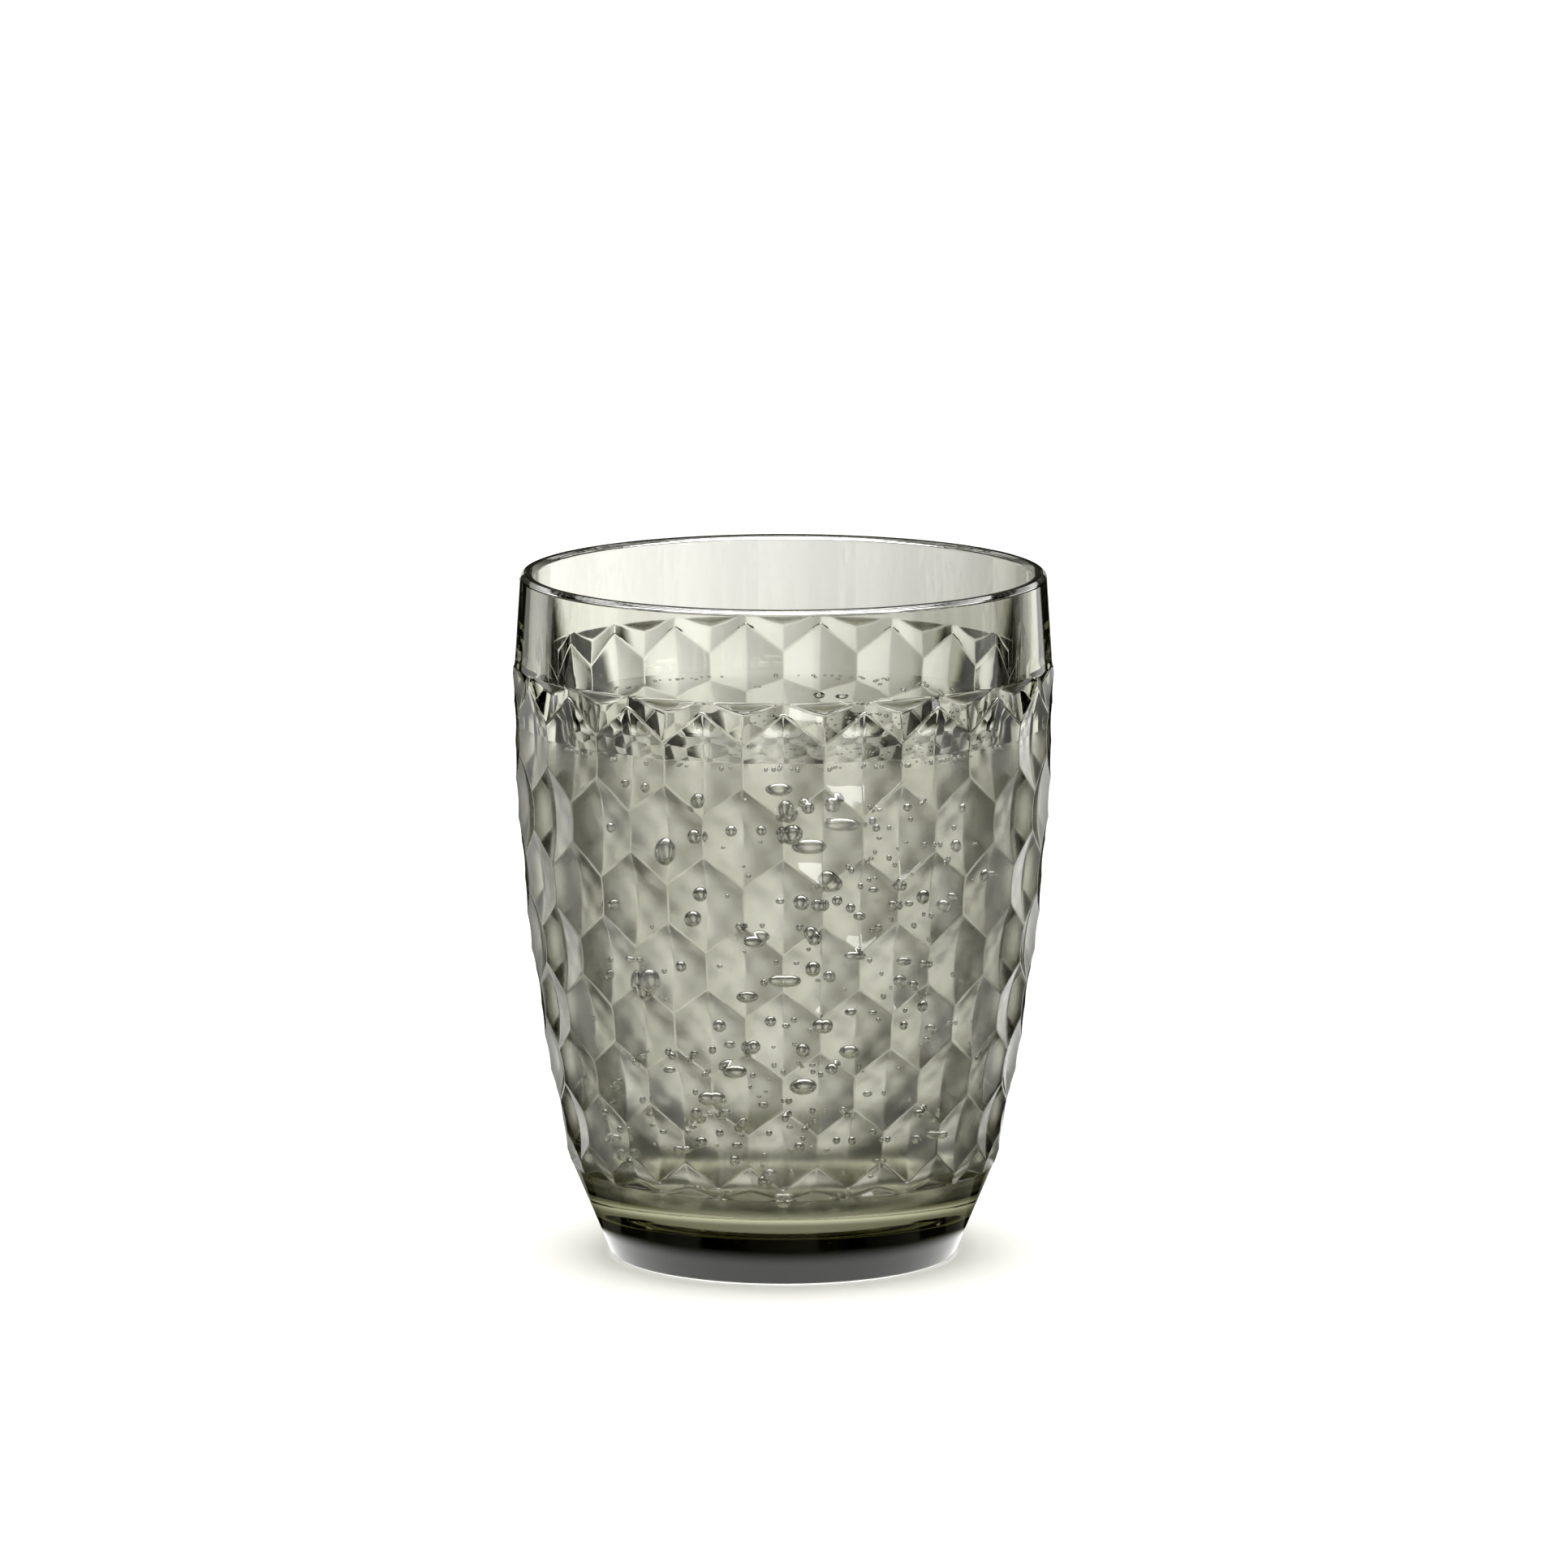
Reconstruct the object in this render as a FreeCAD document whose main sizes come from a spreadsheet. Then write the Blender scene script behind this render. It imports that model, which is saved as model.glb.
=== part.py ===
"""A short whiskey tumbler: one moulded shell with a honeycomb of hollow cells, and the drink in it.

Millimetres, +Z up. The origin is the middle of the foot, on the surface that the tumbler stands on,
and -Y is the front, where a column of cells is centred.

The shell is two features joined into one solid. The core is turned: foot, floor, wall and plain rim
band. The honeycomb is a sleeve round the core, and each cell is the hollow that a wide V-edged wheel
leaves when it is pressed into the sleeve. One half of one column is cut, then mirrored and repeated.
"""
import FreeCAD, Part
import os
import Sketcher
from FreeCAD import Placement, Rotation, Vector

SIZES = {
    "height": 106.4,  # foot to lip
    "rim_radius": 40.45,  # outside of the lip
    "belly_radius": 41.7,  # tips of the honeycomb at its widest, under the plain band
    "waist_radius": 33.05,  # tips of the honeycomb at its narrowest, above the foot
    "foot_radius": 26.6,  # corner where the foot's cone would meet the ground
    "band_height": 14.0,  # plain band, down from the lip
    "foot_height": 14.5,  # plain foot, up from the ground
    "step": 0.35,  # how far the band and the foot stand back from the honeycomb's tips
    "wall": 3.2,  # from the cavity to the honeycomb's tips
    "floor": 8.0,  # from the ground to the cavity
    "cavity_corner": 12.0,  # radius between the cavity's wall and its floor
    "lip_rounding": 0.95,  # or less, where the lip is too thin for it
    "lip_share": 0.45,  # most of the lip's thickness that each of its two roundings takes
    "foot_rounding": 1.1,
    "recess_radius": 21.0,  # hollow under the foot
    "recess_depth": 0.8,
    "recess_slope": 1.6,  # width of the hollow's sloping side
    "cells_round": 21,
    "cell_rows": 9,  # the first and the last are cut off by the band and the foot
    "cell_depth": 1.3,  # hollow of a cell of the top row, below its tips
    "side_share": 0.55,  # upright side of a cell, as a share of the distance between two rows
    "row_taper": 0.762,  # the lowest distance between two rows over the highest
    "top_row_rise": 1.7,  # centre of the top row above the honeycomb's upper edge
    "bottom_row_drop": 0.45,  # centre of the bottom row below the honeycomb's lower edge
    "ledge_reach": 5.0,  # height over which the band's underside runs in under the cells
    "skin": 0.3,  # cut away everywhere, so that only the wheel's hollows are left
    "run_out": 1.0,  # how far a cutting wheel goes past the half column on each side
    "headroom": 24.1,  # from the lip down to the drink
}
GAPS = SIZES["cell_rows"] - 1
TINY = 1e-6  # two places that are nearer than this are the same

doc = FreeCAD.newDocument("WhiskeyTumbler")
sheet = doc.addObject("Spreadsheet::Sheet", "Sizes")
for line, (name, value) in enumerate(SIZES.items(), start=1):
    sheet.set(f"A{line}", name)
    sheet.set(f"B{line}", str(value))
    sheet.setAlias(f"B{line}", name)
doc.recompute()


# Sizes that follow from the sheet, as formulas.

rows = doc.addObject("App::VarSet", "Rows")


def derive(name, formula):
    """Keep one value worked out from the sheet, and return how a formula refers to it."""
    rows.addProperty("App::PropertyFloat", name)
    rows.setExpression(name, formula)
    rows.recompute()
    return f"Rows.{name}"


top = derive("pattern_top", "Sizes.height - Sizes.band_height")
zone = derive("zone", f"{top} - Sizes.foot_height")
narrowing = derive("narrowing", "Sizes.belly_radius - Sizes.waist_radius")
arc = derive("side_arc", f"({narrowing} ^ 2 + {zone} ^ 2) / (2 * {narrowing})")
half_angle = derive("half_angle", "180 / Sizes.cells_round")
rows_span = f"({zone} + Sizes.top_row_rise + Sizes.bottom_row_drop)"
first_gap = derive("first_gap", f"2 * {rows_span} / ({GAPS} * (1 + Sizes.row_taper))")
gap_loss = derive("gap_loss", f"{first_gap} * (1 - Sizes.row_taper) / ({GAPS} - 1)")
half_share = derive("half_share", "1 - Sizes.side_share / 2")
thin_wall = derive("thin_wall", "Sizes.wall - Sizes.cell_depth")


def side(height, inset="0"):
    """Radius of the arc that the honeycomb's tips lie on, at a height, less an inset along its radius."""
    return f"(Sizes.belly_radius - {arc} + sqrt(({arc} - {inset}) ^ 2 - ({height} - {top}) ^ 2))"


# Helpers for the bodies.


def origin_part(body, role):
    """A plane or an axis of the body's own origin."""
    return next(o for o in body.Origin.OriginFeatures if o.Role == role)


def outline(body, name, corners):
    """Draw a closed outline on the body's XZ plane.

    Each corner is (radius, height, inset), all formulas. The line to the next corner is straight where
    inset is None, and otherwise follows the honeycomb's side at that inset.
    """
    sketch = body.newObject("Sketcher::SketchObject", name)
    sketch.AttachmentSupport = [(origin_part(body, "XZ_Plane"), "")]
    sketch.MapMode = "FlatFace"

    def place(radius, height):
        return Vector(sketch.evalExpression(radius), sketch.evalExpression(height), 0)

    def constrain(kind, *where, formula):
        index = sketch.addConstraint(Sketcher.Constraint(kind, *where, sketch.evalExpression(formula)))
        sketch.setExpression(f"Constraints[{index}]", formula)

    firsts = []  # the end of each line that is at its own corner: 1 or 2
    for index, (radius, height, inset) in enumerate(corners):
        next_radius, next_height, _ = corners[(index + 1) % len(corners)]
        start = place(radius, height)
        end = place(next_radius, next_height)
        if inset is None:
            sketch.addGeometry(Part.LineSegment(start, end))
        else:
            middle = f"({height} + {next_height}) / 2"
            sketch.addGeometry(Part.Arc(start, place(side(middle, inset), middle), end))
        firsts.append(1 if sketch.getPoint(index, 1).distanceToPoint(start) < TINY else 2)
    for index, (radius, height, inset) in enumerate(corners):
        before = (index - 1) % len(corners)
        last = 3 - firsts[before]
        sketch.addConstraint(Sketcher.Constraint("Coincident", before, last, index, firsts[index]))
        for kind, axis, formula in (("DistanceX", -2, radius), ("DistanceY", -1, height)):
            if formula == "0":
                sketch.addConstraint(Sketcher.Constraint("PointOnObject", index, firsts[index], axis))
            else:
                constrain(kind, -1, 1, index, firsts[index], formula=formula)
        if inset is not None:
            constrain("Radius", index, formula=f"{arc} - ({inset})")
    return sketch


def turn(body, name, sketch):
    """Turn an outline about the body's upright axis."""
    feature = body.newObject("PartDesign::Revolution", name)
    feature.Profile = sketch
    feature.ReferenceAxis = (sketch, ["V_Axis"])
    return feature


def edges_at(feature, radius, height):
    """Names of the feature's round edges of a radius, at a height."""
    found = []
    for number, edge in enumerate(feature.Shape.Edges, start=1):
        if not isinstance(edge.Curve, Part.Circle):
            continue
        if abs(edge.Curve.Radius - radius) < TINY and abs(edge.Curve.Center.z - height) < TINY:
            found.append(f"Edge{number}")
    return found


def round_off(body, name, base, places, size):
    """Fillet the round edges at the given (radius, height) formulas."""
    doc.recompute()
    names = []
    for radius, height in places:
        names += edges_at(base, body.evalExpression(radius), body.evalExpression(height))
    feature = body.newObject("PartDesign::Fillet", name)
    feature.Base = (base, names)
    feature.setExpression("Radius", size)
    return feature


# The core: foot, floor, wall and plain band, turned about the upright axis.

core = doc.addObject("PartDesign::Body", "Core")
waist = "Sizes.foot_height"
middle_of_wall = f"(Sizes.wall - {thin_wall} / 2)"
band_start = f"{top} - Sizes.ledge_reach"
foot_end = f"{waist} + Sizes.ledge_reach"
core_outline = outline(
    core,
    "CoreOutline",
    [
        ("0", "Sizes.recess_depth", None),
        ("Sizes.recess_radius - Sizes.recess_slope", "Sizes.recess_depth", None),
        ("Sizes.recess_radius", "0", None),
        ("Sizes.foot_radius", "0", None),
        ("Sizes.waist_radius - Sizes.step", waist, None),
        (side(foot_end, middle_of_wall), foot_end, middle_of_wall),
        (side(band_start, middle_of_wall), band_start, None),
        ("Sizes.belly_radius - Sizes.step", top, None),
        ("Sizes.rim_radius", "Sizes.height", None),
        (side("Sizes.height", "Sizes.wall"), "Sizes.height", "Sizes.wall"),
        (side("Sizes.floor", "Sizes.wall"), "Sizes.floor", None),
        ("0", "Sizes.floor", None),
    ],
)
turned = turn(core, "CoreTurned", core_outline)
lip_places = [("Sizes.rim_radius", "Sizes.height"), (side("Sizes.height", "Sizes.wall"), "Sizes.height")]
lip_thickness = f"(Sizes.rim_radius - {side('Sizes.height', 'Sizes.wall')})"
lip_limit = f"min(Sizes.lip_rounding; Sizes.lip_share * {lip_thickness})"
lip = round_off(core, "Lip", turned, lip_places, lip_limit)
foot = round_off(core, "FootEdge", lip, [("Sizes.foot_radius", "0")], "Sizes.foot_rounding")
corner_place = [(side("Sizes.floor", "Sizes.wall"), "Sizes.floor")]
corner = round_off(core, "CavityCorner", foot, corner_place, "Sizes.cavity_corner")
core.Tip = corner


# The honeycomb: a sleeve sunk into the core's wall, cut by one wheel for each row of cells.

comb = doc.addObject("PartDesign::Body", "Honeycomb")
inside_of_wall = f"(Sizes.wall - {thin_wall} / 4)"
sleeve_top = f"{top} + Sizes.step"
sleeve_foot = f"{waist} - Sizes.step"
comb_outline = outline(
    comb,
    "CombOutline",
    [
        (side(sleeve_foot, inside_of_wall), sleeve_foot, None),
        ("Sizes.waist_radius - 2 * Sizes.step", sleeve_foot, None),
        (side(waist, "-Sizes.skin"), waist, "-Sizes.skin"),
        (side(top, "-Sizes.skin"), top, None),
        ("Sizes.belly_radius - 2 * Sizes.step", sleeve_top, None),
        (side(sleeve_top, inside_of_wall), sleeve_top, inside_of_wall),
    ],
)
half_column = turn(comb, "HalfColumn", comb_outline)
half_column.setExpression("Angle", half_angle)
for row in range(SIZES["cell_rows"]):
    centre = f"{top} + Sizes.top_row_rise - {row} * {first_gap} + {gap_loss} * {row * (row - 1) / 2}"
    height = derive(f"height_{row}", centre)
    ridge = derive(f"ridge_{row}", side(height))
    lean = derive(f"lean_{row}", f"asin(({top} - {height}) / {arc})")
    gap = derive(f"gap_{row}", f"{first_gap} - {gap_loss} * {row - 0.5}")
    depth = derive(f"depth_{row}", f"Sizes.cell_depth * {gap} / {first_gap}")
    reach = f"({gap} * {half_share})"
    wheel = derive(f"wheel_{row}", f"1 / (2 * {depth} / {reach} ^ 2 - 1 / {arc})")
    climb = f"{depth} * (1 - (({half_share} - 1 + Sizes.side_share) / {half_share}) ^ 2)"
    span = derive(f"span_{row}", f"{ridge} * sin({half_angle})")
    fall = f"{ridge} * (1 - cos({half_angle}))"
    edge = derive(f"edge_{row}", f"({climb} - {fall}) / {span}")
    out = derive(f"out_{row}", f"{ridge} + ({wheel} - {depth}) * cos({lean})")
    up = f"{height} - ({wheel} - {depth}) * sin({lean})"
    past = f"({span} + Sizes.run_out)"
    cutter = comb.newObject("PartDesign::SubtractiveCone", f"Wheel{row}")
    cutter.setExpression("Height", f"{span} + 2 * Sizes.run_out")
    if row % 2:
        cutter.setExpression("Radius1", f"{wheel} + {edge} * Sizes.run_out")
        cutter.setExpression("Radius2", f"{wheel} - {edge} * {past}")
        place = f"vector({out}; -Sizes.run_out; {up})"
        angle = "0"
    else:
        cutter.setExpression("Radius1", f"{wheel} - {edge} * {past}")
        cutter.setExpression("Radius2", f"{wheel} + {edge} * Sizes.run_out")
        x = f"{out} * cos({half_angle}) + {past} * sin({half_angle})"
        y = f"{out} * sin({half_angle}) - {past} * cos({half_angle})"
        place = f"vector({x}; {y}; {up})"
        angle = half_angle
    across = f"rotation(vector(0; 0; 1); {angle}) * rotation(vector(1; 0; 0); -90)"
    cutter.setExpression("Placement", f"placement({place}; {across})")

column = comb.newObject("PartDesign::Mirrored", "Column")
column.TransformMode = "Whole shape"
column.MirrorPlane = (origin_part(comb, "XZ_Plane"), [""])
comb.Tip = column
all_round = comb.newObject("PartDesign::PolarPattern", "AllRound")
all_round.TransformMode = "Whole shape"
all_round.Axis = (origin_part(comb, "Z_Axis"), [""])
all_round.setExpression("Occurrences", "Sizes.cells_round")
comb.Tip = all_round
comb.Placement = Placement(Vector(), Rotation(Vector(0, 0, 1), -90))

tumbler = doc.addObject("Part::Fuse", "Tumbler")
tumbler.Base = core
tumbler.Tool = comb
tumbler.Refine = True


# The drink: it fills the cavity from the floor up to its level.

drink = doc.addObject("PartDesign::Body", "Drink")
level = "Sizes.height - Sizes.headroom"
drink_outline = outline(
    drink,
    "DrinkOutline",
    [
        ("0", "Sizes.floor", None),
        (side("Sizes.floor", "Sizes.wall"), "Sizes.floor", "Sizes.wall"),
        (side(level, "Sizes.wall"), level, None),
        ("0", level, None),
    ],
)
poured = turn(drink, "Poured", drink_outline)
round_off(drink, "DrinkCorner", poured, corner_place, "Sizes.cavity_corner")
doc.recompute()


# Check every object, then write one file for each sub-part.

SUB_PARTS = {"tumbler": tumbler, "drink": drink}
failed = [o.Name for o in doc.Objects if "Invalid" in o.State or "Error" in o.State]
if failed:
    raise RuntimeError(f"these objects failed: {', '.join(failed)}")
for node, sub_part in SUB_PARTS.items():
    sub_part.Label = node
    shape = sub_part.Shape
    if shape.isNull() or not shape.isValid() or len(shape.Solids) != 1:
        raise RuntimeError(f"{node} isn't one sound solid")
os.makedirs("parts", exist_ok=True)
for node, sub_part in SUB_PARTS.items():
    shape = sub_part.Shape
    shape.exportStep(f"parts/{node}.step")
    print(f"{node}: {shape.Volume / 1000:.1f} ml, {len(shape.Faces)} faces, {len(shape.Solids)} solid")
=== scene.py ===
"""Whiskey tumbler of smoked glass with a clear sparkling drink, on a plain pale floor."""
import math
import random

import bpy
from mathutils import Matrix, Vector


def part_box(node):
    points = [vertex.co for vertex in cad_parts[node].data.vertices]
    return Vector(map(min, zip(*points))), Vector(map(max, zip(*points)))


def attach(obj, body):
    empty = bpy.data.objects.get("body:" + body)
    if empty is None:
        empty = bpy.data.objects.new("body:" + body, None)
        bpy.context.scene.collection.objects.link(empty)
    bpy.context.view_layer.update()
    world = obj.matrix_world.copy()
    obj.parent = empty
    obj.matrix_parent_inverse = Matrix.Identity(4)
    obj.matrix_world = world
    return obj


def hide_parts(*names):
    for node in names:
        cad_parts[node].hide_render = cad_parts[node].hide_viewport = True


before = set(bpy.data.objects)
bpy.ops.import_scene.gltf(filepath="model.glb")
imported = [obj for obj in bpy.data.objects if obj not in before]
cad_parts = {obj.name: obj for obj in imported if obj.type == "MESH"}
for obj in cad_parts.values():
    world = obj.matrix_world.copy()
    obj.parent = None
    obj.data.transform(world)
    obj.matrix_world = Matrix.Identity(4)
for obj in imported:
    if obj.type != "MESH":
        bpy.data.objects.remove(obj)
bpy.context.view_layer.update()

MM = 0.001



def height_of(node, end):
    """Height of a CAD node's lowest (0) or highest (1) point, in millimetres."""
    return round(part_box(node)[end].z / MM, 3)


# Sizes of the tumbler, in millimetres.
HEIGHT = height_of("tumbler", 1)
LEVEL = height_of("drink", 1)
FLOOR = height_of("drink", 0)
RIM_RADIUS = 40.45
BELLY_RADIUS = 41.7
WAIST_RADIUS = 33.05
FOOT_RADIUS = 26.6
BAND_HEIGHT = 14.0
FOOT_HEIGHT = 14.5
STEP = 0.35
WALL = 3.2
CAVITY_CORNER = 12.0
LIP_ROUNDING = 0.95
FOOT_ROUNDING = 1.1
RECESS_RADIUS = 21.0
RECESS_DEPTH = 0.8
RECESS_SLOPE = 1.6
CELLS_ROUND = 21
CELL_ROWS = 9
CELL_DEPTH = 1.3
SIDE_SHARE = 0.55
ROW_TAPER = 0.762
TOP_ROW_RISE = 1.7
BOTTOM_ROW_DROP = 0.45
LEDGE_REACH = 5.0

CLEAR_FLOOR = 4.0  # height above the cavity's floor that has no film of gas

# How finely the tumbler is modelled.
COLUMN_STEPS = 4  # across half a column of cells
CELL_STEPS = 9  # up one cell
WALL_STEPS = 30  # down the cavity's wall
CORNER_STEPS = 14  # round the cavity's corner
CENTRE_STEPS = 8  # across the cavity's floor
LIP_STEPS = 6  # round each half of the lip
RIDGE_ROUNDING = 0.24  # millimetres, on each ridge between two facets
RIDGE_ANGLE = 9  # degrees; only an edge sharper than this is a ridge
DOUBLES = 2e-6  # metres; points nearer than this are one point

TOP = HEIGHT - BAND_HEIGHT
ZONE = TOP - FOOT_HEIGHT
NARROWING = BELLY_RADIUS - WAIST_RADIUS
SIDE_ARC = (NARROWING**2 + ZONE**2) / (2 * NARROWING)
HALF_ANGLE = math.pi / CELLS_ROUND
GAPS = CELL_ROWS - 1
FIRST_GAP = 2 * (ZONE + TOP_ROW_RISE + BOTTOM_ROW_DROP) / (GAPS * (1 + ROW_TAPER))
GAP_LOSS = FIRST_GAP * (1 - ROW_TAPER) / (GAPS - 1)
HALF_SHARE = 1 - SIDE_SHARE / 2
CAVITY_TOP = HEIGHT - LIP_ROUNDING - 1.0  # where the cavity's wall takes over from the lip's rounding
BELOW_LIP = 4  # how far down the cavity's wall gives the direction that the lip is rounded to


def side(height, inset=0.0):
    """Radius, at a height, of the arc that the tips of the cells lie on, less an inset."""
    return BELLY_RADIUS - SIDE_ARC + math.sqrt((SIDE_ARC - inset) ** 2 - (height - TOP) ** 2)


class Row:
    """One row of cells, numbered from the top: the hollow that a wide V-edged wheel leaves."""

    def __init__(self, number):
        self.number = number
        self.height = TOP + TOP_ROW_RISE - number * FIRST_GAP + GAP_LOSS * number * (number - 1) / 2
        ridge = side(self.height)
        lean = math.asin((TOP - self.height) / SIDE_ARC)
        gap = FIRST_GAP - GAP_LOSS * (number - 0.5)
        depth = CELL_DEPTH * gap / FIRST_GAP
        reach = gap * HALF_SHARE
        self.wheel = 1 / (2 * depth / reach**2 - 1 / SIDE_ARC)
        climb = depth * (1 - ((HALF_SHARE - 1 + SIDE_SHARE) / HALF_SHARE) ** 2)
        self.edge = (climb - ridge * (1 - math.cos(HALF_ANGLE))) / (ridge * math.sin(HALF_ANGLE))
        self.out = ridge + (self.wheel - depth) * math.cos(lean)
        self.up = self.height - (self.wheel - depth) * math.sin(lean)

    def radius(self, turn, height):
        """Radius of the hollow at an angle from the front and a height."""
        turn = turn if self.number % 2 else HALF_ANGLE - turn
        c, s = math.cos(turn), math.sin(turn)
        a = c * c - (self.edge * s) ** 2
        b = 2 * (self.wheel * self.edge * s - self.out * c)
        d = self.out**2 + (self.up - height) ** 2 - self.wheel**2
        return (-b - math.sqrt(b * b - 4 * a * d)) / (2 * a)


HALVINGS = 40  # enough to find a crossing as exactly as a number can hold it


def crossing(difference, low, high):
    """Where a difference that is positive at low and negative at high changes sign."""
    for _ in range(HALVINGS):
        middle = (low + high) / 2
        if difference(middle) > 0:
            low = middle
        else:
            high = middle
    return (low + high) / 2


def arc_points(centre, radius, start, end, steps):
    """Points on an arc between two angles in degrees, both ends included."""
    angles = [math.radians(start + (end - start) * i / steps) for i in range(steps + 1)]
    return [(centre[0] + radius * math.cos(a), centre[1] + radius * math.sin(a)) for a in angles]


def rounded(before, corner, after, radius, steps):
    """Points of the rounding of a corner between two straight lines."""
    corner, before, after = Vector(corner), Vector(before), Vector(after)
    one = (before - corner).normalized()
    two = (after - corner).normalized()
    half = one.angle(two) / 2
    centre = corner + (one + two).normalized() * (radius / math.sin(half))
    start = corner + one * (radius / math.tan(half)) - centre
    end = corner + two * (radius / math.tan(half)) - centre
    points = []
    sweep = start.angle_signed(end)
    for i in range(steps + 1):
        turned = Matrix.Rotation(-sweep * i / steps, 2) @ start
        points.append(tuple(centre + turned))
    return points


def even(start, end, steps):
    """Points along a straight line after its start, up to and including its end."""
    return [
        (start[0] + (end[0] - start[0]) * i / steps, start[1] + (end[1] - start[1]) * i / steps)
        for i in range(1, steps + 1)
    ]


ROWS = [Row(number) for number in range(CELL_ROWS)]
BAND_FOOT = (BELLY_RADIUS - STEP, TOP)
WAIST = (WAIST_RADIUS - STEP, FOOT_HEIGHT)
MIDDLE_OF_WALL = WALL - (WALL - CELL_DEPTH) / 2


def ledge_end(row, edge_place, down):
    """Where the band or the foot stops and a row of cells starts, as a function of the angle.

    The ledge runs in from the edge until it meets the cells. Where the cells stand out past the edge, a
    chamfer runs out to them instead.
    """
    edge_radius, edge_height = edge_place
    inner_height = edge_height + down * LEDGE_REACH
    slope = (edge_radius - side(inner_height, MIDDLE_OF_WALL)) / LEDGE_REACH

    def end(turn):
        chamfered = row.radius(turn, edge_height) >= edge_radius
        run = -1.0 if chamfered else slope

        def ledge(z):
            return edge_radius - run * abs(z - edge_height)

        def stands_out(z):
            past_cells = ledge(z) - row.radius(turn, z)
            return -past_cells if chamfered else past_cells

        height = crossing(stands_out, edge_height, inner_height)
        return (ledge(height), height)

    return end


def wall_inside(top_height, bottom_height, steps):
    """Points down the cavity's wall."""
    heights = [top_height + (bottom_height - top_height) * i / steps for i in range(steps + 1)]
    return [(side(z, WALL), z) for z in heights]


def cavity_corner():
    """Centre of the rounding between the cavity's wall and floor, and the angle where the wall starts."""
    centre_radius = SIDE_ARC - WALL - CAVITY_CORNER
    height = FLOOR + CAVITY_CORNER
    radius = BELLY_RADIUS - SIDE_ARC + math.sqrt(centre_radius**2 - (height - TOP) ** 2)
    angle = math.degrees(math.asin((height - TOP) / centre_radius))
    return (radius, height), angle


def cavity_line(start_height):
    """Points down the cavity from a height to the middle of its floor."""
    centre, angle = cavity_corner()
    meets = centre[1] + CAVITY_CORNER * math.sin(math.radians(angle))
    points = wall_inside(start_height, meets, WALL_STEPS)[:-1]
    points += arc_points(centre, CAVITY_CORNER, angle, -90, CORNER_STEPS)
    return points + even(points[-1], (0.0, FLOOR), CENTRE_STEPS)


foot_ledge = ledge_end(ROWS[-1], WAIST, 1)
band_ledge = ledge_end(ROWS[0], BAND_FOOT, -1)


def profile(turn):
    """The outline at an angle from the front: from under the foot, over the lip and down the cavity."""
    middle = (0.0, RECESS_DEPTH)
    recess = (RECESS_RADIUS - RECESS_SLOPE, RECESS_DEPTH)
    ring = (RECESS_RADIUS, 0.0)
    toe = (FOOT_RADIUS, 0.0)
    points = [middle] + even(middle, recess, 5) + even(recess, ring, 2)
    points += even(ring, (FOOT_RADIUS - 1.5, 0.0), 2)
    points += rounded(ring, toe, WAIST, FOOT_ROUNDING, 5)
    points += even(points[-1], WAIST, 6)
    start = foot_ledge(turn)
    points += even(WAIST, start, 2)
    for row in reversed(ROWS):
        if row.number:
            above = ROWS[row.number - 1]
            meets = crossing(
                lambda z: above.radius(turn, z) - row.radius(turn, z), row.height, above.height
            )
            end = (row.radius(turn, meets), meets)
        else:
            end = band_ledge(turn)
        for i in range(1, CELL_STEPS + 1):
            z = start[1] + (end[1] - start[1]) * i / CELL_STEPS
            points.append((row.radius(turn, z) if i < CELL_STEPS else end[0], z))
        start = end
    points += even(start, BAND_FOOT, 2)
    lip_out = (RIM_RADIUS, HEIGHT)
    lip_in = (side(HEIGHT, WALL), HEIGHT)
    rounding = rounded(BAND_FOOT, lip_out, lip_in, LIP_ROUNDING, LIP_STEPS)
    points += even(BAND_FOOT, rounding[0], 6) + rounding[1:]
    below = (side(HEIGHT - BELOW_LIP, WALL), HEIGHT - BELOW_LIP)
    points += rounded(lip_out, lip_in, below, LIP_ROUNDING, LIP_STEPS)
    return points + cavity_line(CAVITY_TOP)


def only(obj):
    """Select one object alone and make it active."""
    bpy.ops.object.select_all(action="DESELECT")
    obj.select_set(True)
    bpy.context.view_layer.objects.active = obj


def apply_modifiers(obj):
    """Apply every modifier of an object, in order."""
    only(obj)
    for name in [m.name for m in obj.modifiers]:
        bpy.ops.object.modifier_apply(modifier=name)


def merge_and_turn_out(obj):
    """Merge the doubles of a closed shape and turn its faces outwards."""
    only(obj)
    bpy.ops.object.mode_set(mode="EDIT")
    bpy.ops.mesh.select_all(action="SELECT")
    bpy.ops.mesh.remove_doubles(threshold=DOUBLES)
    bpy.ops.mesh.normals_make_consistent(inside=False)
    bpy.ops.object.mode_set(mode="OBJECT")


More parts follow.
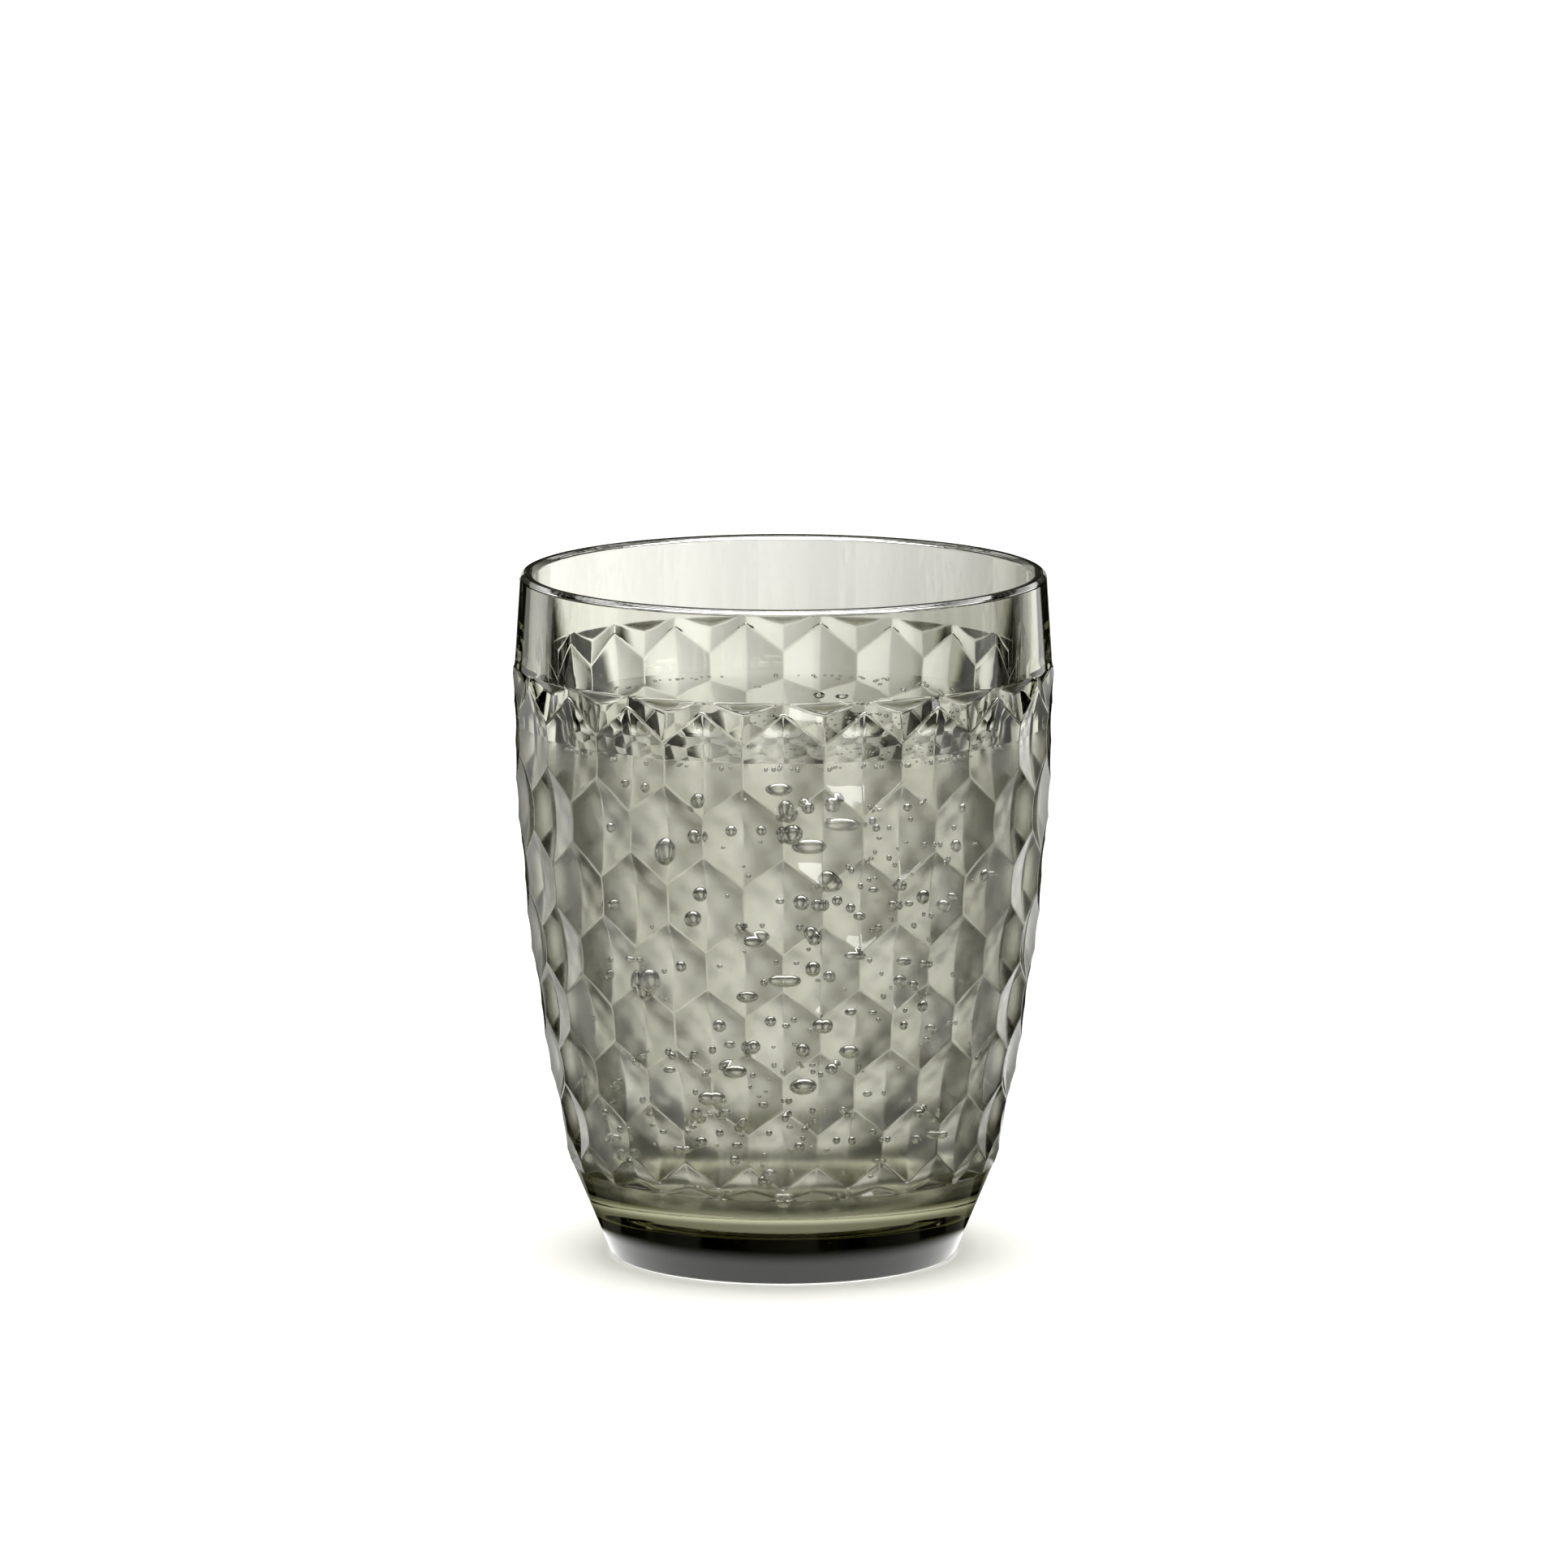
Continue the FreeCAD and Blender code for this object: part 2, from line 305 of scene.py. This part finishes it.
def shell():
    """The moulded shell: half a column of cells, mirrored, repeated round the axis, its ridges rounded.

    Its wetted attribute is 1 on the cavity's wall, from a little above its floor to the drink's level.
    """
    turns = [HALF_ANGLE * i / COLUMN_STEPS for i in range(COLUMN_STEPS + 1)]
    outlines = [profile(turn) for turn in turns]
    length = len(outlines[0])
    bpy.ops.object.select_all(action="DESELECT")
    bpy.ops.mesh.primitive_grid_add(x_subdivisions=COLUMN_STEPS, y_subdivisions=length - 1, size=1)
    obj = bpy.context.object
    obj.name = "moulded_shell"
    lip = length - len(cavity_line(CAVITY_TOP))
    wetted = obj.data.attributes.new("wetted", "FLOAT", "POINT")
    for vertex in obj.data.vertices:
        column = round((vertex.co.x + 0.5) * COLUMN_STEPS)
        along = round((vertex.co.y + 0.5) * (length - 1))
        radius, height = outlines[column][along]
        vertex.co = (radius * math.sin(turns[column]), -radius * math.cos(turns[column]), height)
        vertex.co *= MM
        wetted.data[vertex.index].value = float(along > lip and FLOOR + CLEAR_FLOOR < height < LEVEL)
    mirror = obj.modifiers.new("other_half", "MIRROR")
    mirror.use_axis = (True, False, False)
    mirror.merge_threshold = 1e-6
    pivot = bpy.data.objects.new("next_column", None)
    bpy.context.scene.collection.objects.link(pivot)
    pivot.rotation_euler = (0, 0, 2 * HALF_ANGLE)
    bpy.context.view_layer.update()
    ring = obj.modifiers.new("columns", "ARRAY")
    ring.count = CELLS_ROUND
    ring.use_relative_offset = False
    ring.use_object_offset = True
    ring.offset_object = pivot
    apply_modifiers(obj)
    bpy.data.objects.remove(pivot)
    merge_and_turn_out(obj)
    bevel = obj.modifiers.new("ridges", "BEVEL")
    bevel.limit_method = "ANGLE"
    bevel.angle_limit = math.radians(RIDGE_ANGLE)
    bevel.width = RIDGE_ROUNDING * MM
    bevel.segments = 2
    bevel.use_clamp_overlap = False
    apply_modifiers(obj)
    bpy.ops.object.shade_smooth()
    flats = obj.modifiers.new("flats", "WEIGHTED_NORMAL")
    flats.mode = "FACE_AREA"
    flats.weight = 80
    flats.keep_sharp = False
    apply_modifiers(obj)
    return obj


def turned_shape(name, points, steps):
    """A closed shape turned about the upright axis from a line that starts and ends on it."""
    mesh = bpy.data.meshes.new(name)
    edges = [(i, i + 1) for i in range(len(points) - 1)]
    mesh.from_pydata([(r * MM, 0, z * MM) for r, z in points], edges, [])
    obj = bpy.data.objects.new(name, mesh)
    bpy.context.scene.collection.objects.link(obj)
    only(obj)
    bpy.ops.object.mode_set(mode="EDIT")
    bpy.ops.mesh.select_all(action="SELECT")
    bpy.ops.mesh.spin(steps=steps, angle=2 * math.pi, center=(0, 0, 0), axis=(0, 0, 1))
    bpy.ops.object.mode_set(mode="OBJECT")
    merge_and_turn_out(obj)
    only(obj)
    bpy.ops.object.shade_smooth()
    return obj


WETTING = 0.08  # how far the drink reaches into the glass, so that no gap of air is left
MENISCUS = 0.8  # how far the drink climbs the glass
CLIMB_WIDTH = 6.0  # width of the ring of its surface that bends up
CLIMB_FALL = 1.6  # how far from the glass the climb falls to about a third
CLIMB_STEPS = 12
DRINK_STEPS = 168  # steps round the drink


def drink_shape():
    """The drink, with the edge of its surface drawn up along the glass."""
    line = [(r + WETTING if r > 0 else 0.0, z) for r, z in cavity_line(LEVEL + MENISCUS)]
    line = [(r, z - (WETTING if r < 30 and z < FLOOR + CAVITY_CORNER else 0)) for r, z in line]
    wall = line[0][0] - WETTING
    centre = (0.0, LEVEL)
    surface = [centre] + even(centre, (wall - CLIMB_WIDTH, LEVEL), 6)
    for i in range(1, CLIMB_STEPS + 1):
        back = CLIMB_WIDTH * (1 - i / CLIMB_STEPS)
        surface.append((wall - back, LEVEL + MENISCUS * math.exp(-back / CLIMB_FALL)))
    return turned_shape("drink_body", surface + line, DRINK_STEPS)


# The larger bubbles, which cling to the front of the wall. Each row gives how far the bubble is to the right
# of the middle, how high it is and its width, in millimetres, and then how tall it is for its width.
LARGE_BUBBLES = (
    (-17.4, 68.2, 3.8, 1.2),
    (-20.3, 47.4, 3.5, 1.25),
    (-12.7, 76.4, 2.4, 1.0),
    (-12.7, 71.2, 2.4, 1.0),
    (-12.4, 62.4, 2.4, 1.0),
    (-13.6, 58.2, 2.6, 1.0),
    (-7.9, 72.4, 1.8, 1.0),
    (-25.2, 71.3, 1.7, 1.0),
    (-25.3, 59.2, 1.7, 1.0),
    (0.4, 75.4, 2.9, 1.0),
    (0.9, 71.9, 3.4, 1.0),
    (3.6, 69.6, 6.0, 0.42),
    (9.0, 73.2, 5.6, 0.4),
    (-0.7, 78.4, 4.6, 0.45),
    (3.4, 76.3, 2.0, 1.0),
    (7.4, 76.7, 2.6, 1.0),
    (6.6, 64.4, 3.6, 0.75),
    (2.9, 61.4, 2.5, 1.0),
    (5.4, 61.0, 2.1, 1.0),
    (-4.1, 55.6, 3.6, 0.55),
    (0.2, 48.9, 4.2, 0.48),
    (-5.3, 46.1, 3.8, 0.5),
    (4.2, 51.0, 2.5, 1.0),
    (4.4, 56.2, 2.4, 1.0),
    (-22.0, 51.2, 2.0, 0.5),
    (-7.4, 34.9, 3.9, 0.6),
    (2.6, 32.4, 4.4, 0.65),
    (9.6, 37.3, 3.6, 0.6),
    (-10.6, 30.0, 3.4, 0.7),
)
SMALL_BUBBLES = 320
FOAM = 160  # beads where the drink's surface meets the glass
FLOOR_BEADS = 70  # beads on the cavity's floor
RIGHT_CLUSTER = (14, 7), (60, 12)  # mean and spread of x, then of the height
LOW_CLUSTER = (0, 13), (24, 8)
SEED = 832
FINE_WIDTH = 2.2  # a bubble wider than this is modelled more finely
FINE_SPHERE = (20, 12)  # segments and rings
COARSE_SPHERE = (8, 6)


def cling(x, z, width, back):
    """Centre of a bubble that clings to the front or the back of the cavity's wall."""
    corner = max(0.0, (FLOOR + CAVITY_CORNER - z) * 0.35)
    reach = side(z, WALL) - width / 2 - 0.25 - corner
    away = math.sqrt(max(reach**2 - x**2, 1.0))
    return (x, away if back else -away, z)


def bubbles_shape():
    """Bubbles of gas: the larger ones, small ones in two clusters, foam, and beads on the floor."""
    draw = random.Random(SEED)
    places = [(*cling(x, z, width, False), width, tall) for x, z, width, tall in LARGE_BUBBLES]
    while len(places) < len(LARGE_BUBBLES) + SMALL_BUBBLES:
        cluster = draw.random()
        if cluster < 0.45:
            x, z = (draw.gauss(mean, spread) for mean, spread in RIGHT_CLUSTER)
        elif cluster < 0.75:
            x, z = (draw.gauss(mean, spread) for mean, spread in LOW_CLUSTER)
        else:
            x, z = draw.uniform(-30, 30), draw.uniform(22, LEVEL - 3)
        width = 0.7 + 1.8 * draw.random() ** 2
        if z < FLOOR + 5 or z > LEVEL - width or abs(x) > 31:
            continue
        place = cling(x, z, width, draw.random() < 0.35)
        if all(math.dist(place, other[:3]) > (width + other[3]) / 2 + 0.1 for other in places):
            places.append((*place, width, draw.choice((1.0, 1.0, 1.0, 0.6))))
    edge = side(LEVEL, WALL)
    for _ in range(FOAM):
        width = draw.uniform(0.35, 0.8)
        turn = math.radians(draw.uniform(0, 360))
        reach = edge - width / 2 - 0.2 - draw.random() ** 2 * 2.5
        x, y = reach * math.cos(turn), reach * math.sin(turn)
        places.append((x, y, LEVEL - width / 2 - 0.05, width, 1.0))
    for _ in range(FLOOR_BEADS):
        width = 0.5 + 1.5 * draw.random() ** 2
        turn = draw.uniform(0, 2 * math.pi)
        reach = 22 * math.sqrt(draw.random())
        x, y = reach * math.cos(turn), reach * math.sin(turn)
        places.append((x, y, FLOOR + width / 2 + 0.15, width, 1.0))
    beads = []
    for x, y, z, width, tall in places:
        segments, rings = FINE_SPHERE if width > FINE_WIDTH else COARSE_SPHERE
        bpy.ops.object.select_all(action="DESELECT")
        bpy.ops.mesh.primitive_uv_sphere_add(
            segments=segments, ring_count=rings, radius=width * MM / 2, location=(x * MM, y * MM, z * MM)
        )
        bpy.context.object.scale = (1, min(tall, 1.0), tall)
        beads.append(bpy.context.object)
    for bead in beads:
        bead.select_set(True)
    bpy.context.view_layer.objects.active = beads[0]
    bpy.ops.object.join()
    obj = bpy.context.object
    obj.name = "gas_bubbles"
    bpy.ops.object.transform_apply(location=True, rotation=True, scale=True)
    bpy.ops.object.shade_smooth()
    return obj


FILM = 0.23  # greatest roughness of the film of fine gas on the cavity's wall
FILM_VARIES = 0.02  # how much smoother its smoothest patches are
GLASS_IOR = 1.5
DRINK_IOR = 1.07
GAS_IOR = 0.75


def principled(name, **inputs):
    """A material whose Principled shader has these inputs."""
    material = bpy.data.materials.new(name)
    material.use_nodes = True
    shader = material.node_tree.nodes["Principled BSDF"]
    for socket, value in inputs.items():
        shader.inputs[socket.replace("_", " ")].default_value = value
    return material, shader


def clear(name, ior, **inputs):
    """A clear material with this index of refraction."""
    return principled(name, Base_Color=(1, 1, 1, 1), IOR=ior, Transmission_Weight=1.0, **inputs)


def take_colour_from_depth(tree, colour, density):
    """Let a clear material absorb light along its depth."""
    depth = tree.nodes.new("ShaderNodeVolumeAbsorption")
    depth.inputs["Color"].default_value = (*colour, 1)
    depth.inputs["Density"].default_value = density
    tree.links.new(depth.outputs["Volume"], tree.nodes["Material Output"].inputs["Volume"])


def ripple(tree, shader, size, height):
    """Give a shader a slight unevenness, its size and height in millimetres, and return its pattern."""
    nodes, links = tree.nodes, tree.links
    where = nodes.new("ShaderNodeTexCoord")
    noise = nodes.new("ShaderNodeTexNoise")
    noise.inputs["Scale"].default_value = 1 / (size * MM)
    noise.inputs["Detail"].default_value = 3.0
    links.new(where.outputs["Object"], noise.inputs["Vector"])
    bump = nodes.new("ShaderNodeBump")
    bump.inputs["Strength"].default_value = 1.0
    bump.inputs["Distance"].default_value = height * MM
    links.new(noise.outputs["Fac"], bump.inputs["Height"])
    links.new(bump.outputs["Normal"], shader.inputs["Normal"])
    return noise.outputs["Fac"]


def smoked_glass():
    """Polished glass, smoke grey by its depth, with a film of fine gas where it is wetted."""
    material, shader = clear("smoked_glass", GLASS_IOR)
    tree = material.node_tree
    pattern = ripple(tree, shader, 6.0, 0.006)
    patches = smooth_step(tree, pattern, 0.3, 0.7, FILM - FILM_VARIES, FILM)
    wetted = tree.nodes.new("ShaderNodeAttribute")
    wetted.attribute_name = "wetted"
    film = link_maths(tree)("MULTIPLY", wetted.outputs["Fac"], patches)
    tree.links.new(film, shader.inputs["Roughness"])
    take_colour_from_depth(tree, (0.542, 0.542, 0.38), 135.0)
    return material


def clear_drink():
    """Clear drink, which bends light little, so that the honeycomb shows through it."""
    material, shader = clear("clear_drink", DRINK_IOR, Roughness=0.0)
    tree = material.node_tree
    ripple(tree, shader, 9.0, 0.006)
    take_colour_from_depth(tree, (0.5, 0.495, 0.42), 8.0)
    return material


def gas():
    """Gas in the drink: it bends light the other way."""
    material, shader = clear("gas", GAS_IOR, Roughness=0.0)
    ripple(material.node_tree, shader, 1.5, 0.004)
    return material


def link_maths(tree):
    """A function that adds a Math node and returns its result; its values are numbers or sockets."""

    def maths(operation, *values):
        node = tree.nodes.new("ShaderNodeMath")
        node.operation = operation
        for index, value in enumerate(values):
            if isinstance(value, (int, float)):
                node.inputs[index].default_value = value
            else:
                tree.links.new(value, node.inputs[index])
        return node.outputs["Value"]

    return maths


def smooth_step(tree, value, low, high, start=0.0, end=1.0):
    """A smooth step from start to end as a value goes from low to high."""
    node = tree.nodes.new("ShaderNodeMapRange")
    node.interpolation_type = "SMOOTHSTEP"
    for name, number in (("From Min", low), ("From Max", high), ("To Min", start), ("To Max", end)):
        node.inputs[name].default_value = number
    tree.links.new(value, node.inputs["Value"])
    return node.outputs["Result"]


CARD = 1.38  # brightness of the light cards
GAP = 0.01  # brightness of the dark between them
FALL = 0.6  # share of its brightness that a card loses from its left edge to its right
CARDS = 8  # how many stand round the tumbler
STRIP = 8.0  # brightness of the strip lights
STRIPS = ((29.0, 4.0), (46.0, 3.5))  # their turn from the front and half their width, in degrees
STRIP_EDGE = 0.5  # half the width of a strip light's soft edge, in degrees
FOOT_PAINTED_SHADE = 0.08  # brightness of the painted shade on the floor round the foot, seen through the glass, as a share of the cards
CEILING = 3.6  # brightness of the ceiling


def card_light(tree, x, y):
    """Brightness of the light cards, which stand all round with dark gaps between them."""
    maths = link_maths(tree)
    turn = maths("MULTIPLY", maths("ARCTAN2", x, y), float(CARDS))
    card = smooth_step(tree, maths("COSINE", turn), -0.45, 0.0, GAP, CARD)
    fall = maths("MULTIPLY", maths("ADD", maths("SINE", turn), 1.0), -FALL / 2)
    return maths("MULTIPLY", card, maths("ADD", fall, 1.0))


def strip_light(tree, x, y):
    """Brightness of the strip lights in front and to the right."""
    maths = link_maths(tree)
    angle = maths("ARCTAN2", x, maths("MULTIPLY", y, -1.0))
    total = 0.0
    for turn, half_width in STRIPS:
        off = maths("ABSOLUTE", maths("SUBTRACT", angle, math.radians(turn)))
        edges = math.radians(half_width - STRIP_EDGE), math.radians(half_width + STRIP_EDGE)
        total = maths("ADD", total, smooth_step(tree, off, *edges, STRIP, 0.0))
    return total


def smoke_tint(tree, brightness):
    """A grey of this brightness, warmer the darker it is."""
    share = smooth_step(tree, brightness, 0.0, 0.8, 0.74, 0.97)
    blue = link_maths(tree)("MULTIPLY", brightness, share)
    colour = tree.nodes.new("ShaderNodeCombineColor")
    for channel, value in (("Red", brightness), ("Green", brightness), ("Blue", blue)):
        tree.links.new(value, colour.inputs[channel])
    return colour.outputs["Color"]


def pale_floor_with_painted_light():
    """Plain pale floor. Seen through the glass it glows instead with painted light: the pattern of the light
    cards painted on it, painted shade round the foot, and a painted bright ring under the foot.
    """
    material, shader = principled("pale_floor_with_painted_light", Base_Color=(0.9, 0.9, 0.9, 1), Roughness=0.9)
    tree = material.node_tree
    nodes, links = tree.nodes, tree.links
    maths = link_maths(tree)
    where = nodes.new("ShaderNodeTexCoord")
    split = nodes.new("ShaderNodeSeparateXYZ")
    links.new(where.outputs["Object"], split.inputs["Vector"])
    x, y = split.outputs["X"], split.outputs["Y"]
    away = maths("SQRT", maths("ADD", maths("POWER", x, 2.0), maths("POWER", y, 2.0)))
    # Painted shade: seen through the glass, the floor is painted dark near the foot and brightens further
    # out.
    painted_foot_shade = smooth_step(tree, away, 0.035, 0.10, FOOT_PAINTED_SHADE, 1.0)
    # Painted light: the pattern of the light cards is painted onto the floor, dimmer far away, as it shows
    # through the glass.
    far = smooth_step(tree, away, 1.2, 5.0, 1.0, 0.6)
    cards = maths("MULTIPLY", card_light(tree, x, y), maths("MULTIPLY", painted_foot_shade, far))
    # Painted light: a bright ring is painted on the floor just under the foot's edge, for the light band low
    # on the base.
    painted_ring_under_foot = smooth_step(tree, away, 0.022, 0.028, 0.5, 2.0)
    painted_ring_edge = smooth_step(tree, away, 0.030, 0.033, 1.0, 0.0)
    shown = maths("MAXIMUM", cards, maths("MULTIPLY", painted_ring_under_foot, painted_ring_edge))
    # The painted light is an emission, shown only to rays that come through or off the glass; the camera
    # sees the plain floor.
    glow = nodes.new("ShaderNodeEmission")
    links.new(smoke_tint(tree, shown), glow.inputs["Color"])
    path = nodes.new("ShaderNodeLightPath")
    mix = nodes.new("ShaderNodeMixShader")
    by_glass = maths("MAXIMUM", path.outputs["Is Transmission Ray"], path.outputs["Is Glossy Ray"])
    links.new(by_glass, mix.inputs["Fac"])
    links.new(shader.outputs["BSDF"], mix.inputs[1])
    links.new(glow.outputs["Emission"], mix.inputs[2])
    links.new(mix.outputs["Shader"], nodes["Material Output"].inputs["Surface"])
    return material


def finish_with(obj, material):
    """Give a piece its one material."""
    obj.data.materials.clear()
    obj.data.materials.append(material)


glass = shell()
finish_with(glass, smoked_glass())
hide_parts("tumbler")
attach(glass, "root")

drink = drink_shape()
finish_with(drink, clear_drink())
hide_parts("drink")
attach(drink, "root")

bubbles = bubbles_shape()
finish_with(bubbles, gas())
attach(bubbles, "root")

bpy.ops.object.select_all(action="DESELECT")
bpy.ops.mesh.primitive_plane_add(size=12.0, location=(0, 0, 0))
floor = bpy.context.object
floor.name = "studio_floor"
finish_with(floor, pale_floor_with_painted_light())


def studio_world():
    """The light cards, a soft bright ceiling, two low strip lights, and an even pale backdrop."""
    world = bpy.data.worlds.new("studio")
    bpy.context.scene.world = world
    world.use_nodes = True
    tree = world.node_tree
    nodes, links = tree.nodes, tree.links
    where = nodes.new("ShaderNodeTexCoord")
    split = nodes.new("ShaderNodeSeparateXYZ")
    links.new(where.outputs["Generated"], split.inputs["Vector"])
    maths = link_maths(tree)
    x, y, z = (split.outputs[axis] for axis in "XYZ")
    card_tops = smooth_step(tree, z, -0.02, 0.04, 0.6, 0.04)
    cards = maths("MULTIPLY", card_light(tree, x, y), card_tops)
    ceiling = smooth_step(tree, z, 0.70, 0.80, 0.0, CEILING)
    strip_tops = smooth_step(tree, z, 0.12, 0.16, 1.0, 0.0)
    strips = maths("MULTIPLY", strip_light(tree, x, y), strip_tops)
    lights = maths("ADD", cards, maths("ADD", ceiling, strips))
    backdrop = nodes.new("ShaderNodeLightPath").outputs["Is Camera Ray"]
    shown = maths("MULTIPLY", lights, maths("SUBTRACT", 1.0, backdrop))
    links.new(smoke_tint(tree, maths("ADD", shown, backdrop)), nodes["Background"].inputs["Color"])


studio_world()

# The camera: far off and a little above the tumbler's middle.
CAMERA_DISTANCE = 1.650
CAMERA_RISE = math.radians(9.64)
TARGET = Vector((0.0001, 0, 0.07326))
SENSOR_WIDTH = 36
LENS = 246
camera_data = bpy.data.cameras.new("camera")
camera = bpy.data.objects.new("camera", camera_data)
bpy.context.scene.collection.objects.link(camera)
camera.location = TARGET + CAMERA_DISTANCE * Vector((0, -math.cos(CAMERA_RISE), math.sin(CAMERA_RISE)))
camera.rotation_euler = (math.pi / 2 - CAMERA_RISE, 0, 0)
camera_data.sensor_width = SENSOR_WIDTH
camera_data.lens = LENS
camera_data.clip_end = 50
bpy.context.scene.camera = camera

scene = bpy.context.scene
scene.view_settings.view_transform = "Standard"
scene.cycles.use_denoising = True
scene.cycles.max_bounces = 32
scene.cycles.transmission_bounces = 32
scene.cycles.glossy_bounces = 8
scene.cycles.diffuse_bounces = 3
scene.cycles.caustics_refractive = True
scene.cycles.caustics_reflective = True
scene.cycles.blur_glossy = 0.0
